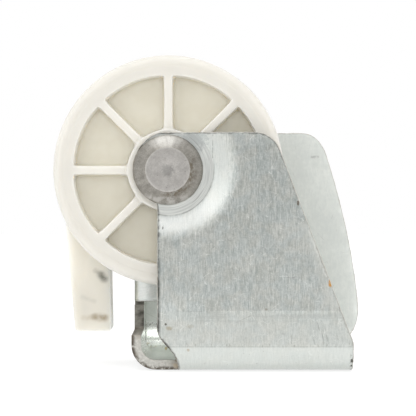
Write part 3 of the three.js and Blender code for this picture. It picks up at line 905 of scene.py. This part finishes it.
def tooling_marks(look, colour):
    """On the front plate: the foot strip, the dish and its pad, the slanting edge and scratches,
    with a painted highlight on the dish wall, a spot of painted shade on the pad and a ring of
    painted shade in its crease.
    """
    radius, rim = look.radius(), FRONT_DISH["pad"]
    # Painted highlight on the dish wall, paler towards the bottom.
    lower = look.z.ramp(AXLE_Z - 3, AXLE_Z - 9)
    painted_wall_highlight = look.mix(lower, (0.62, 0.635, 0.605), (0.80, 0.81, 0.785))
    pad = radius.ramp(rim + 0.05, rim - 0.15)
    worn = look.turning(5.5, 0.16)
    pad_grey = look.mix(worn.ramp(0.3, 0.7), (0.60, 0.615, 0.59), (0.78, 0.795, 0.76))
    hairs = look.turning(3.1, 0.12).ramp(0.60, 0.68) * pad * radius.ramp(7.2, 8.4)
    # Painted shade: a dark ring in the crease at the pad's edge, stronger towards the bottom.
    ring = abs(radius - rim + worn * 0.25).ramp(0.18, 0.02)
    ring = ring * look.noise(0.5, 3).ramp(0.3, 0.6, 0.15, 0.9)
    ring = ring * look.z.ramp(AXLE_Z + 3, AXLE_Z - 3, 0.2, 0.65)
    burr = look.scratch((28.4, 28.3), (31.9, 19.2), 0.45) * look.noise(0.8, 3).ramp(0.3, 0.55)
    colour = look.coats(
        press_marks(look, colour),
        (radius.band(rim, 12.8, 1.2) * 0.6, painted_wall_highlight),
        (pad, pad_grey),
        # A dark blue-grey spot of painted shade above and right of the axle.
        (look.spot(5.2, AXLE_Z + 6.0, 3.6, 3.0, 1.0) * 0.5, (0.36, 0.39, 0.39)),
        (hairs * 0.5, (0.22, 0.22, 0.20)),
        (ring, (0.12, 0.13, 0.12)),
        (look.scratch((27.6, 29.2), (33.4, 13.6), 1.8) * 0.4, (0.66, 0.67, 0.625)),
        (burr * 0.7, (0.78, 0.79, 0.75)),
    )
    for start, end, width, depth in (
        ((30.0, 10.0), (30.5, 8.3), 0.13, 0.45),
        ((30.9, 8.2), (31.4, 5.8), 0.15, 0.5),
        ((31.6, 9.0), (32.3, 5.6), 0.12, 0.4),
        ((29.3, 6.9), (29.5, 5.6), 0.12, 0.4),
        ((24.9, 7.4), (24.9, 5.6), 0.11, 0.35),
        ((9.1, 48.2), (9.0, 43.0), 0.10, 0.5),
        ((11.6, 8.9), (16.8, 11.3), 0.08, 0.3),
        ((3.0, 12.2), (8.6, 12.0), 0.10, 0.35),
        ((-1.1, 28.6), (-0.9, 29.3), 0.14, 0.5),
    ):
        line = look.scratch(start, end, width) * look.noise(1.3, 2).ramp(0.3, 0.5)
        colour = look.mix(line * depth, colour, (0.16, 0.16, 0.15))
    return colour


def spots(look, colour):
    """Dirt and rust: x, z, half width, half height (mm), colour and strength of each."""
    for x, z, wide, high, tint, share in (
        (-0.4, 9.5, 0.3, 0.3, (0.08, 0.07, 0.05), 0.85),
        (0.3, 8.7, 0.9, 0.5, (0.40, 0.34, 0.23), 0.6),
        (32.7, 17.8, 0.5, 1.0, (0.56, 0.27, 0.05), 0.95),
        (26.2, 33.9, 0.32, 0.7, (0.12, 0.09, 0.06), 0.9),
        (19.8, 12.5, 0.4, 0.3, (0.28, 0.25, 0.20), 0.6),
        (-1.0, 28.9, 0.2, 0.45, (0.12, 0.12, 0.11), 0.8),
        (4.6, 9.1, 1.0, 0.5, (0.44, 0.40, 0.30), 0.3),
        (4.1, 4.3, 0.35, 0.4, (0.42, 0.33, 0.22), 0.6),
        (1.6, 2.2, 0.4, 0.9, (0.17, 0.13, 0.09), 0.7),
        (1.5, 0.8, 0.7, 0.7, (0.40, 0.33, 0.23), 0.7),
    ):
        soiled = look.noise(2.1, 4, 0.7).ramp(0.32, 0.5, 0.2, 1.0)
        colour = look.mix(look.spot(x, z, wide, high, 0.3) * soiled * share, colour, tint)
    return colour


def sheared_edge(look, depth):
    """Cut edge of the sheet: a pale torn zone, dark nicks at its outer corner and brown stains."""
    x, y, z = look.x, look.y, look.z
    torn = look.mix(look.noise(1.8, 5, 0.7).ramp(0.3, 0.7), (0.48, 0.47, 0.43), (0.72, 0.71, 0.66))
    stained = look.noise(0.45, 4, 0.65).ramp(0.52, 0.66)
    torn = look.mix(stained * 0.5, torn, (0.30, 0.25, 0.18))
    crusted = z.ramp(11, 8) * x.ramp(4, 1)
    nicks = depth.ramp(1.0, 0.25) * look.noise(1.2, 5, 0.75).ramp(0.40, 0.52)
    specks = look.noise(3.1, 3, 0.7).ramp(0.63, 0.72)
    scorched = z.band(7.0, 9.0, 1.0) * x.ramp(-2, -4)
    scorched = scorched * look.noise(1.0, 4, 0.65).ramp(0.3, 0.55, 0.3, 0.8)
    # The die burnished the end flange's front edge below the ear dark.
    die = y.band(EAR_LINE - 1.5, EAR_LINE + 3, 0.3) * z.band(7.6, EAR_FOOT, 0.5)
    die = die * x.ramp(FLANGE_X + SHEET + 0.4, FLANGE_X + SHEET)
    bands = look.noise(0.5, 3, 0.6, (0.6, 0.2, 1)).ramp(0.35, 0.65)
    return look.coats(
        look.brighter(torn, crusted, -0.2),
        (nicks * (crusted * 0.65 + 0.28), (0.06, 0.045, 0.03)),
        (specks * (crusted * 0.4 + 0.2), (0.10, 0.08, 0.06)),
        (scorched, (0.22, 0.185, 0.14)),
        (die, look.mix(bands, (0.06, 0.056, 0.045), (0.24, 0.23, 0.20))),
    )


def rim_shade_and_tear(look, mark, front, inner):
    """Painted shade along the sheet's outline: uneven, and darker at the left; with it, the torn
    edge at the right-hand foot.
    """
    rim = mark.ramp(0.25, 0.5) * look.noise(0.35, 5, 0.7).ramp(0.35, 0.65, 0.1, 0.75)
    rim = rim * inner.ramp(0, 1, 1.0, 0.55) * look.x.ramp(22, 27, 1.0, 0.5)
    rim = rim * look.y.ramp(FRONT_LINE, FRONT_LINE + 3, 1.0, 0.6)
    torn = mark.ramp(0.1, 0.4) * look.x.ramp(33, 35) * look.z.ramp(4.0, 3.0)
    left = mark.ramp(0.05, 0.35) * look.x.ramp(1.5, 0) * front
    rim = rim + torn * look.noise(1.1, 4, 0.7).ramp(0.42, 0.55)
    return rim + left * look.noise(0.4, 3, 0.6).ramp(0.3, 0.6, 0.2, 0.6)


def galvanised():
    """Zinc-coated sheet, its two sides, its cut edges and the marks that pressing left on it, with
    painted light and shade.
    """
    look = Look("galvanised_sheet")
    y, z = look.y, look.z
    sheet, mark = look.attribute("sheet", "Vector"), look.attribute("edge")
    depth = look.field("Z", "ShaderNodeSeparateXYZ", Vector=sheet)
    front, inner = y.ramp(FRONT_LINE + 0.5, FRONT_LINE), depth.ramp(0.8, 1.2)
    edge = mark.ramp(0.55, 0.95)
    ear = y.band(EAR_Y, EAR_Y + SHEET, 0.5) * z.ramp(EAR_FOOT - 1, EAR_FOOT)
    # The punch polished the inside of the bends beside the end flange.
    polished = inner * z.band(2.6, REAR_BEND + 0.3, 0.5) * look.x.ramp(4, 1)
    grease = polished * look.noise(0.9, 4, 0.65).ramp(0.5, 0.66) * z.ramp(4.5, 3.2)

    outside, rough = outer_zinc(look, sheet)
    marked = tooling_marks(look, outside)
    # Painted light: the ear is painted paler than the rest of the outer side.
    outside = look.coats(outside, (front, marked), (ear * 0.6, (0.76, 0.775, 0.745)))
    within = look.mix(grease * 0.6, inner_zinc(look, sheet), (0.42, 0.36, 0.16))
    colour = look.coats(
        outside,
        (inner, within),
        # Painted shade along the outline, with the torn foot.
        (rim_shade_and_tear(look, mark, front, inner), (0.09, 0.09, 0.08)),
        (edge, sheared_edge(look, depth)),
    )
    colour = look.mix(front, colour, spots(look, colour))
    look.bump(look.noise(*ROLLED, sheet), 0.004)
    look.bump(look.noise(0.3, 2, 0.5), 0.012)
    look.bump(look.noise(3.2, 5, 0.75) * edge, 0.1)
    rough = rough + inner * 0.04 + polished * -0.12 + edge * 0.3
    return look.surface(Base_Color=colour, Metallic=edge.ramp(0, 1, 0.95, 0.35), Roughness=rough)


def moulded(look, light):
    """Base colour and roughness of moulded nylon: faint flow clouds and a little grime."""
    cloud = look.noise(0.16, 4, 0.6)
    colour = look.mix(cloud.ramp(0.3, 0.7, 0, 0.5), light, tuple(0.96 * v for v in light))
    grime = look.noise(0.9, 6, 0.72).ramp(0.62, 0.8)
    colour = look.mix(grime * 0.12, colour, (0.45, 0.41, 0.33))
    look.bump(look.noise(5, 3, 0.6), 0.005)
    look.bump(cloud, 0.04)
    return colour, look.noise(0.5, 3, 0.5).ramp(0.3, 0.7, 0.38, 0.52)


def milky(look, colour, rough, reach):
    """Surface of a nylon that light enters. reach is how far each colour goes in it."""
    return look.surface(
        Base_Color=colour, Roughness=rough, Specular_IOR_Level=0.25,
        Subsurface_Weight=1.0, Subsurface_Radius=reach, Subsurface_Scale=0.004,
    )


def wheel_nylon():
    """Milky nylon, more yellow where the pockets leave only a thin web for light to pass, with
    painted light on and near the pocket walls and painted shade on the lower webs.
    """
    look = Look("white_nylon")
    colour, rough = moulded(look, (0.595, 0.58, 0.54))
    radius, wall = look.radius(), look.attribute("wall")
    pocket = radius.ramp(RIM_R + 0.05, RIM_R - 0.3) * radius.ramp(HUB_R, HUB_R + 0.4)
    share = abs(look.y).ramp(WEB_HALF + 0.9, WEB_HALF + 0.05) * pocket
    clouds = look.noise(0.35, 3).ramp(0.35, 0.7)
    thin = look.mix(clouds, (0.63, 0.605, 0.522), (0.61, 0.582, 0.497))
    # Painted light near the pocket walls, then painted shade: the webs darker towards the bottom.
    thin = look.brighter(thin, wall.ramp(1.8, 0.1) + wall.ramp(0.45, 0.05), 0.06)
    thin = look.brighter(thin, look.z.ramp(AXLE_Z + 2, AXLE_Z - 10), -0.07)
    # Painted light on the pocket walls.
    colour = look.brighter(colour, wall.band(-0.1, 0.15, 0.1), 0.2)
    return milky(look, look.mix(share, colour, thin), rough, (1.0, 0.96, 0.9))


def catch_nylon():
    """Ivory nylon, scuffed by the track: dark rubs, brown ones across the foot and a faint one.
    Painted light and shade: lighter towards the top and on the right-hand side face, darker towards
    the left.
    """
    look = Look("ivory_nylon")
    colour, rough = moulded(look, (0.70, 0.675, 0.61))
    # Painted light and shade: lighter towards the top and on the right-hand side face, darker
    # towards the left.
    side = look.x.ramp(-12.9, -12.4) * look.z.ramp(24, 22)
    for share, amount in ((look.z.ramp(12, 26), 0.26), (look.x.ramp(-15, -19), -0.07), (side, 0.4)):
        colour = look.brighter(colour, share, amount)
    front = look.y.ramp(catch_low.y + 1.0, catch_low.y + 0.5)
    for start, end, width, tint, share in (
        ((-14.5, 18.6), (-14.0, 18.0), 1.4, (0.15, 0.15, 0.125), 0.85),
        ((-15.8, 19.6), (-14.6, 18.8), 0.9, (0.34, 0.32, 0.27), 0.45),
        ((-15.8, 9.7), (-13.9, 9.6), 1.3, (0.33, 0.27, 0.18), 0.8),
        ((-18.4, 9.6), (-16.0, 9.7), 0.9, (0.42, 0.36, 0.26), 0.4),
        ((-18.6, 14.0), (-16.0, 13.1), 0.8, (0.36, 0.36, 0.32), 0.22),
    ):
        soft = look.noise(0.7, 5, 0.65).ramp(0.3, 0.6, 0.5, 1.0)
        colour = look.mix(look.scratch(start, end, width) * soft * front * share, colour, tint)
    return milky(look, colour, rough, (1.0, 0.95, 0.87))


def peened_steel():
    """The rivet: a smooth lilac-grey top with a smudge, and a duller, marked and stained cone, with
    painted highlights at the cone's top and foot.
    """
    look = Look("rivet_steel")
    radius, up = look.radius(), look.z - AXLE_Z
    fine, rays, clouds = look.noise(4.5, 4, 0.7), look.rays(7.0), look.noise(0.8, 4, 0.6)
    top = look.mix((clouds + fine).ramp(0.75, 1.25), (0.46, 0.44, 0.415), (0.58, 0.56, 0.53))
    tone = rays * 0.45 + fine * 0.8 + clouds * 0.5
    # Painted highlight at the top of the cone.
    top_highlight = up.ramp(3.8, 6.0) * abs(look.x + 0.4).ramp(5.0, 0.5)
    # Painted highlight at the foot of the cone.
    below = up.ramp(-4.6, -5.8) * look.noise(0.7, 3).ramp(0.4, 0.6)
    stain = look.noise(0.9, 5, 0.7).ramp(0.42, 0.58) * (look.x * 0.7 + up * -0.5).ramp(0.5, 3.0)
    side = look.coats(
        look.mix(tone.ramp(0.6, 1.15), (0.205, 0.193, 0.172), (0.36, 0.345, 0.312)),
        (top_highlight * tone.ramp(0.6, 1.1, 0.45, 0.8), (0.64, 0.63, 0.60)),
        (below * 0.45, (0.60, 0.58, 0.55)),
        (stain * radius.ramp(6.4, 5.0) * 0.75, (0.14, 0.115, 0.08)),
    )
    marks = look.rays(2.2).ramp(0.5, 0.7) * radius.band(0.8, 3.8, 1.0)
    smudge = look.spot(0.1, AXLE_Z - 0.1, 1.7, 1.5, 1.0) * fine.ramp(0.35, 0.55, 0.3, 1.0)
    colour = look.coats(
        look.mix(radius.ramp(4.35, 4.6), top, side),
        (marks * 0.15, (0.22, 0.21, 0.20)),
        (smudge * 0.45, (0.14, 0.14, 0.135)),
        (look.noise(2.6, 3, 0.7).ramp(0.62, 0.70) * 0.65, (0.13, 0.12, 0.105)),
    )
    look.bump(fine, 0.008)
    look.bump(rays, 0.009)
    rough = radius.ramp(4.35, 4.6, 0.22, 0.34) + fine * 0.2 + top_highlight * 0.08
    return look.surface(Base_Color=colour, Metallic=0.95, Roughness=rough)


def turned_steel(name, light, smoothest, roughest, axis):
    """Turned or ground steel with fine rings round its axis and a few marks."""
    look = Look(name)
    rings, marks = look.turning(9.0, 0.2, axis.x, axis.z), look.noise(1.5, 5, 0.65)
    colour = look.coats(
        light,
        (rings.ramp(0.3, 0.7, 0, 0.5), tuple(0.75 * v for v in light)),
        (marks.ramp(0.5, 0.75, 0, 0.4), tuple(0.6 * v for v in light)),
    )
    look.bump(rings, 0.006)
    look.bump(marks, 0.01)
    rough = marks.ramp(0.3, 0.7, smoothest, roughest)
    return look.surface(Base_Color=colour, Metallic=1.0, Roughness=rough)


def cover(piece, material):
    piece.data.materials.clear()
    piece.data.materials.append(material)


cover(bracket, galvanised())
cover(wheel, wheel_nylon())
cover(rivet, peened_steel())
cover(nodes["catch_lever"], catch_nylon())
for name, light, smoothest, roughest, axis, pieces in (
    ("axle_steel", (0.55, 0.55, 0.54), 0.3, 0.45, AXLE, ("front_spacer", "rear_spacer")),
    ("pivot_steel", (0.52, 0.51, 0.49), 0.35, 0.5, PIVOT,
     ("catch_rivet", "catch_washer", "catch_wave_washer")),
    ("race_steel", (0.62, 0.63, 0.64), 0.15, 0.25, AXLE,
     ("bearing_inner_ring", "bearing_outer_ring")),
    ("ball_steel", (0.68, 0.69, 0.70), 0.08, 0.14, AXLE, BALLS),
    ("cage_steel", (0.50, 0.50, 0.48), 0.3, 0.42, AXLE, ("bearing_cage",)),
    ("shield_steel", (0.58, 0.59, 0.58), 0.22, 0.34, AXLE,
     ("bearing_front_shield", "bearing_rear_shield")),
):
    steel = turned_steel(name, light, smoothest, roughest, axis)
    for piece in pieces:
        cover(nodes[piece], steel)


# ---- camera, floor and light -----------------------------------------------------------------
CAMERA_AWAY = 390  # mm in front of the front plate


def make_camera():
    """Level, square to the front plate, with the whole roller in view."""
    data = bpy.data.cameras.new("camera")
    data.sensor_width, data.lens = 36, 167.9
    data.clip_start, data.clip_end = 0.01, 10
    camera = bpy.data.objects.new("camera", data)
    bpy.context.scene.collection.objects.link(camera)
    camera.location = Vector((8.1, FRONT_Y - CAMERA_AWAY, 32.9)) * MM
    camera.rotation_euler = (PI / 2, 0, 0)
    bpy.context.scene.camera = camera


def make_floor():
    bpy.ops.mesh.primitive_plane_add(size=4, location=(0, 0, -0.0002))
    floor = bpy.context.object
    floor.name = "floor"
    look = Look("floor_white")
    paper = look.mix(look.noise(0.02), (0.38, 0.38, 0.38), (0.41, 0.41, 0.41))
    glow = {"Emission_Color": (1, 1, 1), "Emission_Strength": 0.65}
    cover(floor, look.surface(Base_Color=paper, Roughness=0.9, **glow))


FLAG_SQUASH = 0.65  # height of the flag against its width


def make_flag():
    """A soft dark disc in front of the roller, seen only as a reflection in its metal."""
    place, upright = (0.01, -0.62, 0.05), (PI / 2, 0, 0)
    bpy.ops.mesh.primitive_circle_add(
        vertices=64, radius=0.23, fill_type="NGON", location=place, rotation=upright
    )
    flag = bpy.context.object
    flag.name = "flag"
    flag.visible_camera = flag.visible_diffuse = False
    flag.visible_shadow = flag.visible_transmission = False
    look = Look("flag_cloth")
    clear = look.tree.nodes.new("ShaderNodeBsdfTransparent")
    blend = look.tree.nodes.new("ShaderNodeMixShader")
    away = look.vector("LENGTH", look.vector("MULTIPLY", look.mm, (1, 1 / FLAG_SQUASH, 1)))
    look.feed(blend.inputs[0], away.ramp(70, 220))
    look.tree.links.new(look.shader.outputs[0], blend.inputs[1])
    look.tree.links.new(clear.outputs[0], blend.inputs[2])
    look.tree.links.new(blend.outputs[0], look.tree.nodes["Material Output"].inputs["Surface"])
    cloth = look.mix(look.noise(0.01), (0.10, 0.10, 0.10), (0.13, 0.13, 0.13))
    cover(flag, look.surface(Base_Color=cloth, Roughness=1.0, Specular_IOR_Level=0.0))


def area_light(name, place, size, power, target=(0.01, 0, 0.03), spread=PI):
    data = bpy.data.lights.new(name, "AREA")
    data.shape, data.size, data.energy = "DISK", size, power
    data.spread = spread
    lamp = bpy.data.objects.new(name, data)
    lamp.location = place
    lamp.rotation_euler = (Vector(target) - Vector(place)).to_track_quat("-Z", "Y").to_euler()
    bpy.context.scene.collection.objects.link(lamp)
    lamp.visible_camera = False
    return lamp


def make_light():
    world = bpy.data.worlds.new("world")
    bpy.context.scene.world = world
    world.use_nodes = True
    world.node_tree.nodes["Background"].inputs["Color"].default_value = (1, 1, 1, 1)
    world.node_tree.nodes["Background"].inputs["Strength"].default_value = 1.0
    area_light("top", (-0.1, -0.35, 0.8), 0.5, 1.5)
    area_light("left", (-0.5, -0.75, 0.3), 0.4, 0.4)
    # A small fill in the corner behind the ear, for the inside of the rear bend.
    hollow = Vector((-4, EAR_Y + 3.4, EAR_FOOT - 0.8)) * MM
    area_light("fill", hollow, 0.008, 0.38e-4, hollow + Vector((0, 1, -1)), math.radians(50))
    front = area_light("front", (0.02, -0.9, 0.12), 0.5, 3.2)
    front.visible_glossy = False  # the flag stands before it
    bpy.context.scene.view_settings.view_transform = "Standard"


make_camera()
make_floor()
make_flag()
make_light()
